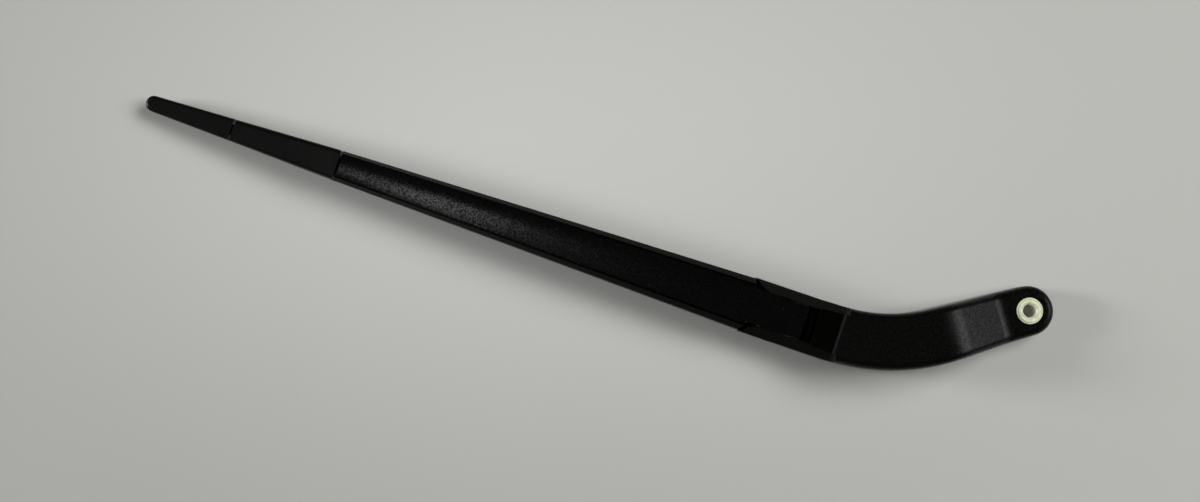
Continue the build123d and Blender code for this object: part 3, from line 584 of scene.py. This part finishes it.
def bent_halves(name, outline, ends, material, node):
    """Two halves of a strip, split at the blade's middle, each set in place of the CAD node."""
    for side, begin, end in (("inner", ends[0], blade_middle), ("outer", blade_middle, ends[1])):
        half = wear_finish(extruded(f"{name}_{side}", outline, begin, end), material)
        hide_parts(node)
        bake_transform(half)


rubber, tree, surface, where = finish_of("wiping_rubber", Specular_IOR_Level=0.35)
drawn = place(tree, "ShaderNodeMapping", Vector=where, Scale=(0.15, 3.0, 3.0)).outputs[0]
streaks = noise(tree, drawn, scale=420.0, detail=5.0, Roughness=0.6)
bloom = noise(tree, where, scale=90.0, detail=6.0, Roughness=0.7)
soot = mixed(tree, bloom, (0.010, 0.010, 0.010), (0.024, 0.024, 0.023))
graphite = mixed(tree, ramp_between(tree, streaks, 0.55, 0.75, 0.0, 0.5), soot, (0.045, 0.045, 0.046))
gloss = gloss_between(tree, streaks, 0.62, 0.46)
finish_with(tree, surface, graphite, gloss, streaks, strength=0.2, depth=0.00004)
mirrored = rubber_half_outline[::-1] * (-1, 1)
rubber_outline = rounded_outline(np.vstack((rubber_half_outline, mirrored)), 0.12 * mm)
bent_halves("rubber", rubber_outline, rubber_ends, rubber, "wiper_rubber")

# Support strips: rolled stainless steel, cut to length.
# One lies in either groove of the rubber's head.
strip_ends = (0.254, 0.548)
strip_outline = mm * np.array([(0.85, 7.0), (3.3, 7.0), (3.3, 7.9), (0.85, 7.9)])
rolled, tree, surface, where = finish_of("rolled_strip", Metallic=1.0)
drawn = place(tree, "ShaderNodeMapping", Vector=where, Scale=(0.04, 4.0, 4.0)).outputs[0]
roll = noise(tree, drawn, scale=900.0, detail=5.0, Roughness=0.7)
bright = mixed(tree, roll, (0.42, 0.42, 0.43), (0.62, 0.62, 0.62))
finish_with(tree, surface, bright, gloss_between(tree, roll, 0.26, 0.40), roll, strength=0.15, depth=0.00002)
for side, hand in (("near", 1), ("far", -1)):
    outline = rounded_outline(strip_outline * (hand, 1), 0.1 * mm)
    bent_halves(f"strip_{side}", outline, strip_ends, rolled, f"support_strip_{side}")

# Floor: a plain pale board under the part, very slightly clouded.
# Its colour carries a painted pool of light: palest in a soft oval round the arm, and painted a little darker
# further out.
floor_half = 6.0
# The painted pool of light: its middle, turn and stretch, and where its painted falloff begins and ends.
lit_pool_middle, lit_pool_turn_deg, lit_pool_stretch = (0.350, 0.005, 0.0), 18.8, 1.75
lit_pool_span, cloud_share = (-0.08, 0.32), 0.08
pool_lit_tone, pool_dim_tone = (0.645, 0.648, 0.622), (0.465, 0.465, 0.440)
corners = [(-floor_half, -floor_half, 0), (floor_half, -floor_half, 0)]
corners += [(floor_half, floor_half, 0), (-floor_half, floor_half, 0)]
floor_mesh = bpy.data.meshes.new("floor")
floor_mesh.from_pydata(corners, [], [(0, 1, 2, 3)])
floor = bpy.data.objects.new("floor", floor_mesh)
bpy.context.scene.collection.objects.link(floor)
pale, tree, surface, where = finish_of("pale_board", Roughness=0.75, Specular_IOR_Level=0.2)
lit_pool = place(
    tree,
    "ShaderNodeMapping",
    {"vector_type": "TEXTURE"},
    Vector=where,
    Location=lit_pool_middle,
    Rotation=(0.0, 0.0, np.radians(lit_pool_turn_deg)),
    Scale=(lit_pool_stretch, 1.0, 1.0),
)
out_of_lit_pool = place(
    tree,
    "ShaderNodeMapRange",
    {"interpolation_type": "SMOOTHERSTEP"},
    Value=vector_node(tree, "LENGTH", lit_pool.outputs[0]).outputs["Value"],
    From_Min=lit_pool_span[0],
    From_Max=lit_pool_span[1],
)
cloudy = noise(tree, where, scale=5.0, detail=4.0, Roughness=0.5)
# The painted falloff of light round the pool, with a little random cloud mixed in.
pool_falloff_and_cloud = mixed(tree, cloud_share, out_of_lit_pool.outputs[0], cloudy)
tree.links.new(mixed(tree, pool_falloff_and_cloud, pool_lit_tone, pool_dim_tone), surface.inputs["Base Color"])
floor_mesh.materials.append(pale)

# Studio light: a wide soft wall of light from the right, which makes the shadows, and a lamp from the left.
# A long one low on the near side lights the shoulders, a small one the ramp, and one overhead the panel.
# The wall doesn't show in reflections, so that the black skins stay dark.


def softbox(name, spot, aim, size, power, turn_deg=0.0, spread_deg=180.0):
    """A rectangular area lamp at spot, facing aim, turned about its own axis, its beam spread by some degrees."""
    lamp = bpy.data.lights.new(name, "AREA")
    lamp.shape = "RECTANGLE"
    lamp.size, lamp.size_y = size
    lamp.energy = power
    lamp.spread = np.radians(spread_deg)
    thing = bpy.data.objects.new(name, lamp)
    thing.location = spot
    facing = (Vector(aim) - Vector(spot)).to_track_quat("-Z", "Y")
    thing.rotation_euler = (facing @ Quaternion((0, 0, 1), np.radians(turn_deg))).to_euler()
    bpy.context.scene.collection.objects.link(thing)
    return thing


arm_middle, ramp_middle = (0.27, 0.05, 0.0), (0.04, 0.03, 0.02)
wall = softbox("right_wall", (-1.27, -1.30, 2.12), arm_middle, size=(2.0, 1.3), power=72.0)
wall.visible_glossy = False
softbox("left_lamp", (3.70, 0.75, 1.12), arm_middle, size=(0.8, 0.8), power=100.0)
softbox("near_low", (0.25, 1.70, 0.36), arm_middle, size=(2.2, 0.5), power=0.9)
softbox("ramp_lamp", (-0.87, -0.41, 0.74), ramp_middle, size=(0.5, 0.4), power=0.31, spread_deg=60.0)
softbox("overhead", (1.05, 0.34, 3.00), arm_middle, size=(1.30, 0.25), power=5.2, turn_deg=-28.0)

room_tone, room_level = (0.84, 0.86, 0.86, 1), 0.02
world = bpy.data.worlds.new("room")
world.use_nodes = True
backdrop = world.node_tree.nodes["Background"]
backdrop.inputs["Color"].default_value = room_tone
backdrop.inputs["Strength"].default_value = room_level
bpy.context.scene.world = world

# Camera: almost straight above the arm, leaning a little to the near side.
# The arm lies slantwise across the frame, its head on the right.
azimuth, elevation, distance = np.radians(198.77), np.radians(87.0), 0.900
target = Vector((0.25793, 0.04986, 0.025))
lean = np.cos(elevation)
back = Vector((np.sin(azimuth) * lean, -np.cos(azimuth) * lean, np.sin(elevation)))
lens = bpy.data.cameras.new("camera")
lens.lens, lens.sensor_width = 45.0, 36.0
lens.clip_start, lens.clip_end = 0.01, 50.0
camera = bpy.data.objects.new("camera", lens)
camera.location = target + back * distance
camera.rotation_euler = (-back).to_track_quat("-Z", "Y").to_euler()
bpy.context.scene.collection.objects.link(camera)
bpy.context.scene.camera = camera
bpy.context.scene.view_settings.view_transform = "Standard"
